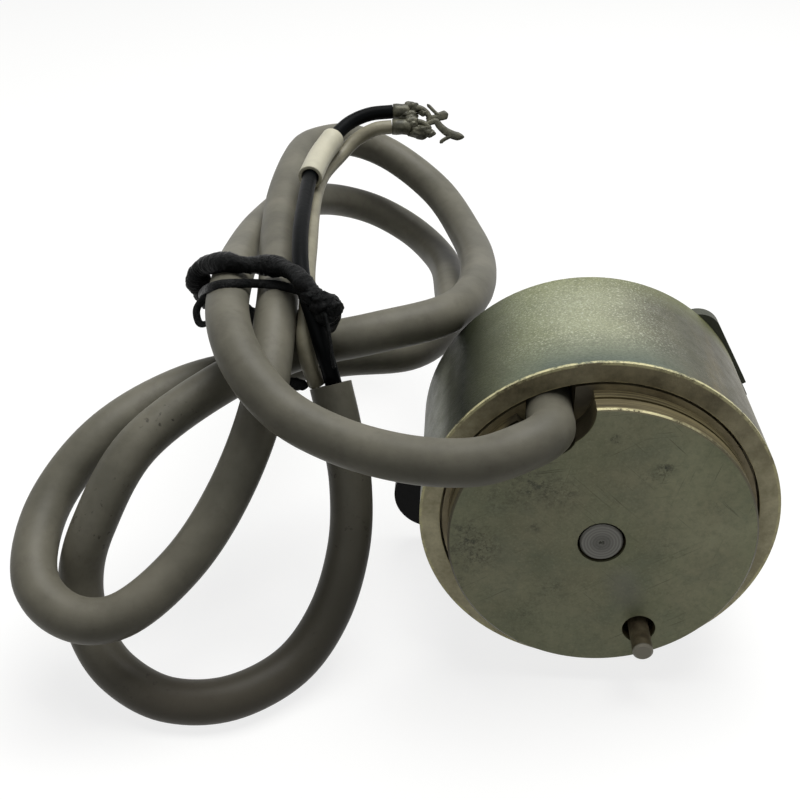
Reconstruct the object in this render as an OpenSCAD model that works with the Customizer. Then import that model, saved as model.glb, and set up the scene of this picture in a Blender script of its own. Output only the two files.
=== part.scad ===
// Push-pull solenoid with a tied two-core lead.
// It lies on its round housing: the shaft points to -Y, the flange closes the
// rear at y = 0 and the cable coil stands to the left (-X) of the housing.

/* [Housing] */
// Outer diameter of the steel housing tube
body_d = 70; // [69:0.5:72]
// Bore of the housing tube
bore_d = 62; // [61.5:0.5:62.5]
// Length of the housing tube
tube_len = 38; // [37.5:0.5:39]
// Thickness of the mounting flange
flange_t = 3; // [2.5:0.5:3]

/* [Front cap] */
// Diameter of the front cap
cap_d = 58.8; // [58:0.2:60]
// Thickness of the front cap
cap_t = 7.3; // [7:0.1:8]
// Clearance hole for the shaft
shaft_hole_d = 9.2; // [8.8:0.1:10]
// Clearance hole for the guide pin
pin_hole_d = 6.6; // [6:0.1:7.5]

/* [Moving parts] */
// Diameter of the output shaft
shaft_d = 8.2; // [8:0.1:8.4]
// Diameter of the guide pin
pin_d = 4; // [3:0.5:4.5]
// How far the pin stands out of the cap at rest
pin_proud = 7; // [6:0.5:10]
// Travel of the plunger
stroke = 5; // [4:0.5:5]
// Outer diameter of the plunger
plunger_d = 23.4; // [23:0.1:23.4]

/* [Mounting] */
// Distance between the two mounting holes
ear_pitch = 66; // [65:1:68]
// Height of the hole line below the shaft axis
ear_drop = 21.4; // [19:0.1:22]
// Diameter of the mounting holes
ear_hole_d = 5.5; // [4.5:0.1:6.5]
// Radius of the rounded ear ends
ear_r = 9; // [8.5:0.1:9.2]
// Distance from the axis to the flange's straight shoulder
shoulder_u = 35.75; // [35.2:0.05:37]

/* [Cable] */
// Outer diameter of the two-core cable
cable_d = 8.8; // [8.2:0.1:8.8]
// Outer diameter of each insulated core
core_d = 3.5; // [3:0.1:3.6]
// Outer diameter of the marker sleeve
sleeve_d = 5.8; // [5:0.1:6]

/* [Hidden] */
$fn = 96;

// stations along the axis, measured forward from the mounting face
tube_s = flange_t;
front_s = flange_t + tube_len;
cap_s = front_s + cap_t;
rear_plate_t = 4;
front_plate_t = 8;
plate_s = front_s - front_plate_t;
coil_s0 = tube_s + rear_plate_t + 0.2;
coil_s1 = plate_s - 0.2;
bobbin_wall = 1.5;
bobbin_gap = 1;
bobbin_r = bore_d / 2 - bobbin_gap;
winding_gap = 5;
winding_r = bobbin_r - winding_gap;
tape_t = 0.4;
tape_r = winding_r + tape_t;
lead_gap = 0.8;

// guide tube, plunger, pole
guide_r = plunger_d / 2 + 0.05;
guide_wall = 0.75;
washer_t = 1;
washer_step = 0.7;
washer_r = plunger_d / 2 - washer_step;
plunger_s = tube_s + washer_t + 0.05;
plunger_len = 12.5;
pole_s = plunger_s + plunger_len + stroke + 0.5;
pocket_s = front_s - 4.5;
spring_seat_s = pocket_s - 6.5;
spigot_r = 7;
rear_recess = 1.5;

// swinging arm that ties the pin to the shaft, and the pocket it moves in
arm_t = 1.6;
arm_s = pocket_s + 1.1;
ring_t = 0.7;
ring_w = 1.6;
ring_bite = 0.6;
ring_mouth = 2.4;
hub_r = 6.5;
arm_w = 8;
arm_tip_r = 3.9;
pocket_gap = 0.7;
pocket_roof_s = cap_s - 2.3;
pin_x = 9.1;
pin_z = -20.9;
pin_angle = atan2(pin_z, pin_x);
pin_dist = norm([pin_x, pin_z]);

// cable opening
slot_x = -11;
slot_z = 24;
slot_r = cable_d / 2 + 0.05;
notch_x = -10.9;
notch_z = 28.5;
notch_r = 7.65;
splice_r = 1.6;

// flange outline
shoulder_tilt = 29;
shoulder_v0 = -7.5;
shoulder_v1 = 13;
shoulder_corner = 5;
disc_r = 27;

// thread cores
pull_core_r = 2.1;
screw_r = 2;
screw_pitch_r = 20;

// cable route: exit, front bend, rear arch, left loop, second arch, lower loop
jacket_route = [
    [-11, -34, 24], [-11, -42, 24], [-11.5, -49, 24.8], [-16.5, -54, 24.5],
    [-25, -56, 22.5], [-37, -54, 21.5], [-50, -49, 22], [-61, -44, 25.5], [-69, -36, 31],
    [-74, -22, 33.5], [-76.5, -3, 32.5], [-78.5, 22, 28.5], [-77.5, 46, 26],
    [-74, 68.5, 23], [-65, 86.5, 18], [-53, 93.5, 12.5], [-41, 90, 7], [-32.5, 74, 5],
    [-30, 49, 8], [-30, 23.5, 11.5], [-38, 6.5, 12], [-53, -0.5, 13.5], [-69, -3.5, 12.5],
    [-86, -13.5, 12.5], [-100, -27.5, 9], [-109, -40, 0], [-108.5, -55, -6.5],
    [-100.5, -62.5, -10], [-90, -62.5, -9.5], [-79.5, -54, -3.5], [-71.5, -45, 7],
    [-66, -35, 20], [-65.5, -18, 29], [-67, 0, 31], [-69.7, 20, 32.2], [-71.5, 44, 34],
    [-71, 67, 35.5], [-68.5, 81, 35.5], [-59.5, 91, 34], [-47.5, 92.5, 29],
    [-34.5, 82, 22.5], [-26.5, 61.5, 18.5], [-23.5, 38, 20], [-25, 12.5, 23.5],
    [-31.5, -2.5, 25], [-46, -9.5, 24], [-62, -12, 20.8], [-77, -21.5, 17.5],
    [-91.5, -35, 10.5], [-99.2, -44.8, -2], [-102, -49, -12.5], [-100, -53.5, -21.5],
    [-94, -58.5, -27.5], [-83.5, -62.5, -30.5], [-71, -61.5, -30.5], [-60, -53.5, -29],
    [-53, -45, -22], [-49.5, -37, -11], [-49.5, -31, 1], [-52, -25, 11], [-54, -21.5, 18]
];
black_route = [
    [-53.3, -21.8, 18.2], [-54.2, -22, 22.5], [-55.6, -21.2, 27.2], [-57.2, -18.6, 31.6],
    [-59.2, -14.2, 35], [-60.8, -8.5, 37.4], [-62, 0, 39.5], [-63, 12, 41], [-64, 36, 42],
    [-63, 48, 43], [-60.5, 57, 45], [-57, 63.5, 47], [-52, 66.5, 48.5], [-46, 67.5, 49]
];
white_route = [
    [-56.8, -21, 17.7], [-58.4, -20.6, 22.5], [-59.3, -18.9, 27], [-59.3, -15, 30],
    [-59.6, -9.5, 32.6], [-60.3, -3, 34.8], [-61, 8, 36.4], [-62.3, 24, 36.9],
    [-63, 38, 37], [-62.3, 49, 38.2], [-59, 57.5, 40.2], [-55.5, 61.5, 43],
    [-50.5, 63, 45.6], [-46, 63.5, 46.2]
];
sleeve_route = [[-64, 36, 42], [-63, 48, 43], [-60.5, 57, 45]];
tie_route = [
    [-60.5, -10, 27.2], [-67, -7, 24.6], [-77, -2, 26], [-82.8, -1.2, 28.6],
    [-84.6, -1.5, 33], [-82, -2, 37], [-76, -3, 38.6], [-70, -5, 37.6],
    [-65.5, -7.5, 38.8], [-61, -11.6, 40.6], [-56.8, -15.4, 37.6], [-54.2, -17.4, 33.2],
    [-55.4, -15, 28.4]
];

// ---- helpers -------------------------------------------------------------

// turns a shape built along +Z into one that runs forward (-Y)
module forward() {
    rotate([90, 0, 0])
        children();
}

// a disc or washer between two stations of the axis
module ring_at(s0, s1, r_out, r_in = 0) {
    translate([0, 0, s0])
        difference() {
            cylinder(h = s1 - s0, r = r_out);
            if (r_in > 0)
                translate([0, 0, -1])
                    cylinder(h = s1 - s0 + 2, r = r_in);
        }
}

// a hole cut between two stations
module bore_at(s0, s1, r, x = 0, y = 0) {
    translate([x, y, s0])
        cylinder(h = s1 - s0, r = r);
}

function unit(v) = v / norm(v);

// tangent at point i of a route, open or closed
function tangent(p, i, closed) =
    let (n = len(p))
    closed ? unit(p[(i + 1) % n] - p[(i + n - 1) % n])
           : unit(p[min(i + 1, n - 1)] - p[max(i - 1, 0)]);

// the part of v square to t
function square_to(v, t) = unit(v - (v * t) * t);

// side vectors carried along the route without twisting
function side_vectors(p, closed, start) = [
    for (i = 0, u = square_to(start, tangent(p, 0, closed));
         i < len(p);
         i = i + 1, u = i < len(p) ? square_to(u, tangent(p, i, closed)) : u)
        u];

// a tube with an oval section (ra along the side vector, rb across it)
module swept_tube(p, ra, rb, sides, closed = false, start = [0, 0, 1]) {
    n = len(p);
    side = side_vectors(p, closed, start);
    points = [
        for (i = [0 : n - 1])
            let (t = tangent(p, i, closed))
            let (u = side[i])
            let (w = cross(t, u))
            for (k = [0 : sides - 1])
                let (a = 360 * k / sides)
                p[i] + ra * cos(a) * u + rb * sin(a) * w];
    rings = closed ? n : n - 1;
    walls = [
        for (i = [0 : rings - 1])
            for (k = [0 : sides - 1])
                let (j = (i + 1) % n)
                let (m = (k + 1) % sides)
                [i * sides + k, i * sides + m, j * sides + m, j * sides + k]];
    start_cap = closed ? [] : [[for (k = [sides - 1 : -1 : 0]) k]];
    end_cap = closed ? [] : [[for (k = [0 : sides - 1]) (n - 1) * sides + k]];
    flat = [
        for (f = walls)
            for (q = [[f[0], f[2], f[1]], [f[0], f[3], f[2]]])
                q];
    ends = [
        for (f = concat(start_cap, end_cap))
            [for (k = [len(f) - 1 : -1 : 0]) f[k]]];
    polyhedron(points = points, faces = concat(flat, ends), convexity = 12);
}

// outline of the arm, grown by g all round
module arm_outline(g = 0) {
    circle(r = hub_r + g);
    rotate(pin_angle)
        translate([0, -arm_w / 2 - g])
            square([pin_dist, arm_w + 2 * g]);
    translate([pin_x, pin_z])
        circle(r = arm_tip_r + g);
}

// ---- housing -------------------------------------------------------------

module mounting_flange() {
    color([0.06, 0.06, 0.06])
        forward()
            difference() {
                linear_extrude(height = flange_t)
                    flange_outline();
                bore_at(-1, flange_t + 1, spigot_r + 0.8);
                for (side = [-1, 1])
                    bore_at(-1, flange_t + 1, ear_hole_d / 2, side * ear_pitch / 2, -ear_drop);
                for (a = [45 : 90 : 315])
                    rotate(a)
                        translate([screw_pitch_r, 0, 0])
                            screw_clearance();
            }
}

// disc, ear bar and the straight shoulder with one rounded corner
module flange_outline() {
    circle(r = disc_r);
    translate([-ear_pitch / 2, -ear_drop - ear_r])
        square([ear_pitch, 2 * ear_r]);
    for (side = [-1, 1])
        translate([side * ear_pitch / 2, -ear_drop])
            circle(r = ear_r);
    rotate(shoulder_tilt) {
        translate([0, shoulder_v0])
            square([shoulder_u, shoulder_v1 - shoulder_v0 - shoulder_corner]);
        translate([0, shoulder_v0])
            square([shoulder_u - shoulder_corner, shoulder_v1 - shoulder_v0]);
        translate([shoulder_u - shoulder_corner, shoulder_v1 - shoulder_corner])
            circle(r = shoulder_corner);
        translate([0, shoulder_v0 - 3])
            square([shoulder_u - 0.9, 6]);
    }
}

module screw_clearance() {
    translate([0, 0, -1])
        cylinder(h = flange_t + 2, r = screw_r);
    translate([0, 0, -0.01])
        cylinder(h = 2, r1 = screw_r + 2, r2 = screw_r);
}

module flange_screws() {
    color([0.35, 0.35, 0.36])
        forward()
            for (a = [45 : 90 : 315])
                rotate(a)
                    translate([screw_pitch_r, 0, 0])
                        difference() {
                            union() {
                                translate([0, 0, 0.3])
                                    cylinder(h = 1.7, r1 = screw_r + 1.6, r2 = screw_r);
                                translate([0, 0, 1])
                                    cylinder(h = tube_s + rear_plate_t - 1.5, r = screw_r);
                            }
                            translate([0, 0, -0.5])
                                cylinder(h = 2, r = 1.15, $fn = 6);
                        }
}

module rear_plate() {
    color([0.45, 0.44, 0.38])
        forward()
            difference() {
                ring_at(tube_s, tube_s + rear_plate_t, bore_d / 2, guide_r + guide_wall);
                for (a = [45 : 90 : 315])
                    rotate(a)
                        bore_at(tube_s - 1, tube_s + rear_plate_t + 1, screw_r, screw_pitch_r);
            }
}

module housing_tube() {
    color([0.5, 0.52, 0.42])
        forward()
            difference() {
                translate([0, 0, tube_s])
                    cylinder(h = tube_len, r = body_d / 2, $fn = 128);
                bore_at(tube_s - 1, front_s + 1, bore_d / 2);
            }
}

module damping_washer() {
    color([0.1, 0.1, 0.1])
        forward()
            ring_at(tube_s, tube_s + washer_t, washer_r, spigot_r + 0.8);
}

module guide_tube() {
    color([0.75, 0.6, 0.3])
        forward()
            ring_at(tube_s, plate_s, guide_r + guide_wall, guide_r);
}

// ---- coil ----------------------------------------------------------------

module bobbin() {
    color([0.12, 0.12, 0.12])
        forward()
            difference() {
                union() {
                    ring_at(coil_s0, coil_s1, guide_r + guide_wall + bobbin_wall);
                    ring_at(coil_s0, coil_s0 + bobbin_wall, bobbin_r);
                    ring_at(coil_s1 - bobbin_wall, coil_s1, bobbin_r);
                }
                bore_at(coil_s0 - 1, coil_s1 + 1, guide_r + guide_wall);
                translate([slot_x, slot_z, coil_s1 - bobbin_wall - 1])
                    cylinder(h = bobbin_wall + 2, r = cable_d / 2 + lead_gap);
            }
}

module coil_winding() {
    color([0.72, 0.42, 0.2])
        forward()
            ring_at(coil_s0 + bobbin_wall, coil_s1 - bobbin_wall,
                    winding_r, guide_r + guide_wall + bobbin_wall);
}

module coil_tape() {
    color([0.75, 0.65, 0.2])
        forward()
            ring_at(coil_s0 + bobbin_wall, coil_s1 - bobbin_wall, tape_r, winding_r);
}

// crimped joints between the coil ends and the two cores, laid on the tape
module lead_splices() {
    color([0.8, 0.8, 0.75])
        forward()
            for (a = [-4.6, 4.6])
                rotate(atan2(slot_z, slot_x) + a)
                    bore_at(coil_s0 + 8, plate_s + 1, splice_r, tape_r + splice_r);
}

// ---- front ---------------------------------------------------------------

module front_pole() {
    color([0.55, 0.55, 0.53])
        forward()
            difference() {
                ring_at(pole_s, pocket_s, guide_r, shaft_d / 2 + 1.7);
                bore_at(pole_s - 1, spring_seat_s, shaft_d / 2 + 3.3);
            }
}

module shaft_bush() {
    color([0.7, 0.5, 0.25])
        forward()
            ring_at(spring_seat_s, pocket_s, shaft_d / 2 + 1.7, shaft_d / 2 + 0.05);
}

module front_plate() {
    color([0.5, 0.45, 0.34])
        forward()
            difference() {
                union() {
                    ring_at(plate_s, front_s - 3, bore_d / 2);
                    ring_at(plate_s, front_s, bore_d / 2 - 0.5);
                }
                bore_at(plate_s - 1, pocket_s + 0.01, guide_r);
                translate([0, 0, pocket_s])
                    linear_extrude(height = 10)
                        arm_outline(pocket_gap);
                bore_at(plate_s - 1, front_s + 1, slot_r, slot_x, slot_z);
                translate([slot_x - slot_r, slot_z, plate_s - 1])
                    cube([2 * slot_r, 12, front_plate_t + 2]);
            }
}

module front_cap() {
    color([0.47, 0.46, 0.36])
        forward()
            difference() {
                union() {
                    ring_at(front_s, cap_s - 0.4, cap_d / 2);
                    translate([0, 0, cap_s - 0.4])
                        cylinder(h = 0.4, r1 = cap_d / 2, r2 = cap_d / 2 - 0.4);
                }
                translate([0, 0, front_s - 1])
                    linear_extrude(height = pocket_roof_s - front_s + 1)
                        arm_outline(pocket_gap);
                bore_at(front_s, cap_s + 1, shaft_hole_d / 2);
                bore_at(front_s, cap_s + 1, pin_hole_d / 2, pin_x, pin_z);
                bore_at(front_s - 1, cap_s + 1, notch_r, notch_x, notch_z);
                bore_at(front_s - 1, cap_s + 1, slot_r + 0.3, slot_x, slot_z);
                // shallow band turned into the rim
                translate([0, 0, front_s + 2.6])
                    difference() {
                        cylinder(h = 0.8, r = cap_d / 2 + 1);
                        translate([0, 0, -1])
                            cylinder(h = 3, r = cap_d / 2 - 0.5);
                    }
            }
}

// ---- moving parts ----------------------------------------------------------

module plunger() {
    color([0.6, 0.6, 0.58])
        forward()
            difference() {
                union() {
                    ring_at(plunger_s, plunger_s + plunger_len, plunger_d / 2);
                    ring_at(rear_recess, plunger_s + 1, spigot_r);
                }
                bore_at(0, plunger_s + plunger_len + 1, shaft_d / 2);
            }
}

module shaft() {
    color([0.62, 0.62, 0.62])
        forward()
            difference() {
                union() {
                    ring_at(rear_recess, cap_s - 0.3, shaft_d / 2);
                    translate([0, 0, cap_s - 0.3])
                        cylinder(h = 0.3, r1 = shaft_d / 2, r2 = shaft_d / 2 - 0.3);
                }
                bore_at(rear_recess - 1, rear_recess + 12, pull_core_r);
                ring_groove(arm_s - ring_t);
                ring_groove(arm_s + arm_t);
                translate([0, 0, cap_s - 0.5])
                    cylinder(h = 1, r1 = 0.2, r2 = 0.9);
            }
}

// groove for one retaining ring
module ring_groove(s) {
    translate([0, 0, s])
        difference() {
            cylinder(h = ring_t, r = shaft_d / 2 + 1);
            translate([0, 0, -1])
                cylinder(h = ring_t + 2, r = shaft_d / 2 - 0.6);
        }
}

module guide_arm() {
    color([0.45, 0.42, 0.35])
        forward()
            difference() {
                translate([0, 0, arm_s])
                    linear_extrude(height = arm_t)
                        arm_outline();
                bore_at(arm_s - 1, arm_s + arm_t + 1, shaft_d / 2);
                bore_at(arm_s - 1, arm_s + arm_t + 1, pin_d / 2, pin_x, pin_z);
            }
}

module guide_pin() {
    color([0.5, 0.44, 0.36])
        forward()
            translate([pin_x, pin_z, 0]) {
                ring_at(arm_s, cap_s + pin_proud - 0.4, pin_d / 2);
                translate([0, 0, cap_s + pin_proud - 0.4])
                    cylinder(h = 0.4, r1 = pin_d / 2, r2 = pin_d / 2 - 0.4);
                ring_at(arm_s + arm_t, arm_s + arm_t + 0.8, pin_d / 2 + 0.9);
            }
}

module retaining_rings() {
    color([0.2, 0.2, 0.2])
        forward()
            for (s = [arm_s - ring_t, arm_s + arm_t])
                difference() {
                    ring_at(s, s + ring_t, shaft_d / 2 + ring_w, shaft_d / 2 - ring_bite);
                    translate([-ring_mouth / 2, -shaft_d / 2 - ring_w - 1, s - 1])
                        cube([ring_mouth, shaft_d / 2 + ring_w + 1, ring_t + 2]);
                }
}

// light coil spring between the plunger and the seat in the pole
module return_spring() {
    spring_wire_r = 0.45;
    spring_r = shaft_d / 2 + 1.6;
    z0 = plunger_s + plunger_len + spring_wire_r;
    z1 = spring_seat_s - spring_wire_r;
    turns = 5;
    steps = 60;
    path = [
        for (i = [0 : steps])
            let (a = 360 * turns * i / steps)
            [spring_r * cos(a), spring_r * sin(a), z0 + (z1 - z0) * i / steps]];
    color([0.5, 0.5, 0.5])
        forward()
            swept_tube(path, spring_wire_r, spring_wire_r, 8);
}

// ---- cable -----------------------------------------------------------------

module cable_jacket() {
    color([0.45, 0.44, 0.4])
        swept_tube(jacket_route, cable_d / 2, cable_d / 2, 12);
}

module core_black() {
    color([0.05, 0.05, 0.05])
        swept_tube(black_route, core_d / 2, core_d / 2, 8, start = [1, 0, 0]);
}

module core_white() {
    color([0.85, 0.83, 0.72])
        swept_tube(white_route, core_d / 2, core_d / 2, 8, start = [1, 0, 0]);
}

// short printed-type sleeve pushed over the black core
module marker_sleeve() {
    color([0.82, 0.8, 0.66])
        difference() {
            swept_tube(sleeve_route, sleeve_d / 2, sleeve_d / 2, 12, start = [1, 0, 0]);
            swept_tube(
                [[-64.1, 33, 41.8], [-64, 36, 42], [-63, 48, 43], [-60.5, 57, 45],
                 [-59.4, 60, 46]],
                core_d / 2 + 0.3, core_d / 2 + 0.3, 12, start = [1, 0, 0]);
        }
}

// open-jaw crimp lug of the given length: barrel, crimp wings, blade, two tines
module lug(length) {
    rotate([0, 90, 0])
        cylinder(h = 5, r = 2.3, $fn = 32);
    translate([4, -2.2, -1])
        cube([3, 4.4, 2]);
    translate([6, -3, -0.5])
        cube([3, 6, 1]);
    for (side = [-1, 1])
        translate([8.5, side * 2.2 - 0.8, -0.4])
            cube([length - 9.7, 1.6, 0.8]);
    for (side = [-1, 1])
        translate([length - 1.2, side * 2.2, -0.4])
            cylinder(h = 0.8, r = 1.2, $fn = 24);
}

module lug_black() {
    color([0.3, 0.29, 0.25])
        translate([-46, 67.5, 49])
            rotate([20, 2, 1])
                lug(14.4);
}

module lug_white() {
    color([0.3, 0.29, 0.25])
        translate([-46, 63.5, 46.2])
            rotate([20, 6, 0])
                lug(18.2);
}

// wide wrap round both runs and the cores, with a knot and two cut tails
module cable_tie() {
    color([0.04, 0.04, 0.04]) {
        swept_tube(tie_route, 1.1, 3, 8, closed = true, start = [0, 0, 1]);
        translate([-53.2, -19.6, 34.6])
            sphere(r = 2.8, $fn = 24);
        translate([-52.3, -19.6, 31.6])
            sphere(r = 2.3, $fn = 24);
        swept_tube(
            [[-52.6, -19.4, 33], [-52.8, -23.5, 29.8], [-53.2, -26.2, 25.8], [-53.6, -27.6, 21.6]],
            1.2, 2, 8, start = [0, 1, 0]);
    }
}

mounting_flange();
flange_screws();
rear_plate();
housing_tube();
damping_washer();
guide_tube();
bobbin();
coil_winding();
coil_tape();
front_pole();
shaft_bush();
front_plate();
front_cap();
lead_splices();
plunger();
shaft();
guide_arm();
guide_pin();
retaining_rings();
return_spring();
cable_jacket();
core_black();
core_white();
marker_sleeve();
lug_black();
lug_white();
cable_tie();
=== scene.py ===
import math

import bmesh
import bpy
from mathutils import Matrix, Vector, noise


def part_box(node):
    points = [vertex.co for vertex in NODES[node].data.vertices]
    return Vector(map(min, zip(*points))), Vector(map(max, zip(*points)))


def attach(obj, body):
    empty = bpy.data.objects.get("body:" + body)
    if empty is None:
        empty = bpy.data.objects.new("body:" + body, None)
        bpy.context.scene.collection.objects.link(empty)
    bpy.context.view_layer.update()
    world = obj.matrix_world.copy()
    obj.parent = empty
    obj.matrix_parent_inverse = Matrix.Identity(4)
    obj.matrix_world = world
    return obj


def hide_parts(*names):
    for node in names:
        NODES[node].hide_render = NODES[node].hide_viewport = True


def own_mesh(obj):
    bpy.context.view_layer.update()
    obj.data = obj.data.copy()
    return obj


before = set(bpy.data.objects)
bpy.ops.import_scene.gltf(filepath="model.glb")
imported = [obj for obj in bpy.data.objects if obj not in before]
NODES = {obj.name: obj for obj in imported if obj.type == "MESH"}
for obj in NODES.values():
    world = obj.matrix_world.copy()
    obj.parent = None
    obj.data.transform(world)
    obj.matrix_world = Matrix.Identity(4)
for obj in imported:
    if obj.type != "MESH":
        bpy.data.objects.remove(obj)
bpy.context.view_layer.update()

bl_info = {
    "name": "Push Pull Solenoid",
    "version": (1, 0, 0),
    "blender": (4, 5, 0),
    "location": "View3D > Sidebar > Solenoid",
    "description": "Builds a round flanged solenoid with a tied two-core lead",
    "category": "Object",
}

# The lead's route in metres: exit, front bend, rear arch, left loop, second arch, lower loop
JACKET_ROUTE = [
    (-0.011, -0.034, 0.024), (-0.011, -0.042, 0.024), (-0.0115, -0.049, 0.0248),
    (-0.0165, -0.054, 0.0245), (-0.025, -0.056, 0.0225), (-0.037, -0.054, 0.0215),
    (-0.05, -0.049, 0.022), (-0.061, -0.044, 0.0255), (-0.069, -0.036, 0.031),
    (-0.074, -0.022, 0.0335), (-0.0765, -0.003, 0.0325), (-0.0785, 0.022, 0.0285),
    (-0.0775, 0.046, 0.026), (-0.074, 0.0685, 0.023), (-0.065, 0.0865, 0.018),
    (-0.053, 0.0935, 0.0125), (-0.041, 0.09, 0.007), (-0.0325, 0.074, 0.005),
    (-0.03, 0.049, 0.008), (-0.03, 0.0235, 0.0115), (-0.038, 0.0065, 0.012),
    (-0.053, -0.0005, 0.0135), (-0.069, -0.0035, 0.0125), (-0.086, -0.0135, 0.0125),
    (-0.1, -0.0275, 0.009), (-0.109, -0.04, 0), (-0.1085, -0.055, -0.0065),
    (-0.1005, -0.0625, -0.01), (-0.09, -0.0625, -0.0095), (-0.0795, -0.054, -0.0035),
    (-0.0715, -0.045, 0.007), (-0.066, -0.035, 0.02), (-0.0655, -0.018, 0.029),
    (-0.067, 0, 0.031), (-0.0697, 0.02, 0.0322), (-0.0715, 0.044, 0.034),
    (-0.071, 0.067, 0.0355), (-0.0685, 0.081, 0.0355), (-0.0595, 0.091, 0.034),
    (-0.0475, 0.0925, 0.029), (-0.0345, 0.082, 0.0225), (-0.0265, 0.0615, 0.0185),
    (-0.0235, 0.038, 0.02), (-0.025, 0.0125, 0.0235), (-0.0315, -0.0025, 0.025),
    (-0.046, -0.0095, 0.024), (-0.062, -0.012, 0.0208), (-0.077, -0.0215, 0.0175),
    (-0.0915, -0.035, 0.0105), (-0.0992, -0.0448, -0.002), (-0.102, -0.049, -0.0125),
    (-0.1, -0.0535, -0.0215), (-0.094, -0.0585, -0.0275), (-0.0835, -0.0625, -0.0305),
    (-0.071, -0.0615, -0.0305), (-0.06, -0.0535, -0.029), (-0.053, -0.045, -0.022),
    (-0.0495, -0.037, -0.011), (-0.0495, -0.031, 0.001), (-0.052, -0.025, 0.011),
    (-0.054, -0.0215, 0.018),
]
BLACK_ROUTE = [
    (-0.0533, -0.0218, 0.0182), (-0.0542, -0.022, 0.0225), (-0.0556, -0.0212, 0.0272),
    (-0.0572, -0.0186, 0.0316), (-0.0592, -0.0142, 0.035), (-0.0608, -0.0085, 0.0374),
    (-0.062, 0, 0.0395), (-0.063, 0.012, 0.041), (-0.064, 0.036, 0.042),
    (-0.063, 0.048, 0.043), (-0.0605, 0.057, 0.045), (-0.057, 0.0635, 0.047),
    (-0.052, 0.0665, 0.0485), (-0.046, 0.0675, 0.049),
]
WHITE_ROUTE = [
    (-0.0568, -0.021, 0.0177), (-0.0584, -0.0206, 0.0225), (-0.0593, -0.0189, 0.027),
    (-0.0593, -0.015, 0.03), (-0.0596, -0.0095, 0.0326), (-0.0603, -0.003, 0.0348),
    (-0.061, 0.008, 0.0364), (-0.0623, 0.024, 0.0369), (-0.063, 0.038, 0.037),
    (-0.0623, 0.049, 0.0382), (-0.059, 0.0575, 0.0402), (-0.0555, 0.0615, 0.043),
    (-0.0505, 0.063, 0.0456), (-0.046, 0.0635, 0.0462),
]
SLEEVE_ROUTE = [(-0.064, 0.036, 0.042), (-0.063, 0.048, 0.043), (-0.0605, 0.057, 0.045)]
TIE_ROUTE = [
    (-0.0605, -0.0095, 0.0262), (-0.067, -0.0065, 0.0242), (-0.077, -0.0022, 0.0252),
    (-0.0818, -0.0022, 0.0278), (-0.0834, -0.0034, 0.0310), (-0.0834, -0.0044, 0.0342),
    (-0.0811, -0.0056, 0.0371), (-0.0760, -0.0092, 0.0393), (-0.0712, -0.0082, 0.0383),
    (-0.0666, -0.0080, 0.0382), (-0.0628, -0.0112, 0.0386), (-0.0594, -0.0156, 0.0381),
    (-0.0563, -0.0180, 0.0362), (-0.0542, -0.0176, 0.0328), (-0.0554, -0.0150, 0.0282),
]
STRAND_ROUTE = [
    (-0.0822, -0.0088, 0.0318), (-0.0802, -0.0138, 0.0350), (-0.0781, -0.0173, 0.0373),
    (-0.0758, -0.0181, 0.0384), (-0.0735, -0.0173, 0.0383), (-0.0713, -0.0142, 0.0370),
    (-0.0690, -0.0116, 0.0358), (-0.0658, -0.0109, 0.0353), (-0.0628, -0.0120, 0.0352),
    (-0.0604, -0.0150, 0.0360), (-0.0580, -0.0176, 0.0364),
]
LOOP_ROUTE = [
    (-0.0800, -0.0150, 0.0340), (-0.0815, -0.0162, 0.0318), (-0.0808, -0.0178, 0.0296),
    (-0.0790, -0.0182, 0.0300), (-0.0782, -0.0168, 0.0324), (-0.0787, -0.0154, 0.0340),
]
TAIL_ROUTE = [
    (-0.0545, -0.0218, 0.0342), (-0.0536, -0.0240, 0.0305), (-0.0530, -0.0258, 0.0273),
    (-0.0526, -0.0264, 0.0247),
]

# Places on the solids that the finishes follow, in metres
TUBE_RADIUS = 0.035
TUBE_BORE_RADIUS = 0.031
TUBE_FRONT_Y = -0.041
CAP_RADIUS = 0.0294
CAP_FRONT_Y = -0.0483
PIN_TIP_Y = -0.0553
NOTCH_SHADE = (-0.011, -0.044, 0.024)
RING_SHADE = (-0.0055, -0.042, 0.028)

# Colours over the tube with painted light and shade in them, from its left side (0) by the top
# (0.5) to its right side (1): a painted reflection on the left side, a painted shadow band on the
# upper left flank, a painted highlight on the top and painted shade down the right side
TUBE_LIT_AND_SHADED_COLOURS = (
    (0.0, (130, 132, 121)), (0.13, (124, 126, 113)), (0.17, (56, 58, 46)),
    (0.21, (25, 28, 20)), (0.25, (52, 55, 40)), (0.31, (92, 96, 74)),
    (0.37, (120, 125, 97)), (0.43, (148, 152, 125)), (0.50, (144, 147, 121)),
    (0.55, (124, 126, 104)), (0.60, (92, 92, 76)), (0.66, (80, 80, 65)),
    (0.74, (82, 80, 67)), (0.80, (94, 91, 78)), (0.88, (124, 120, 103)),
    (1.0, (130, 126, 108)),
)
# Hairline rubs on the cap: angle in radians, seed of the pattern
CAP_RUBS = ((0.55, 3.1), (-0.75, 7.7), (1.3, 12.4), (0.15, 17.9))
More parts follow.
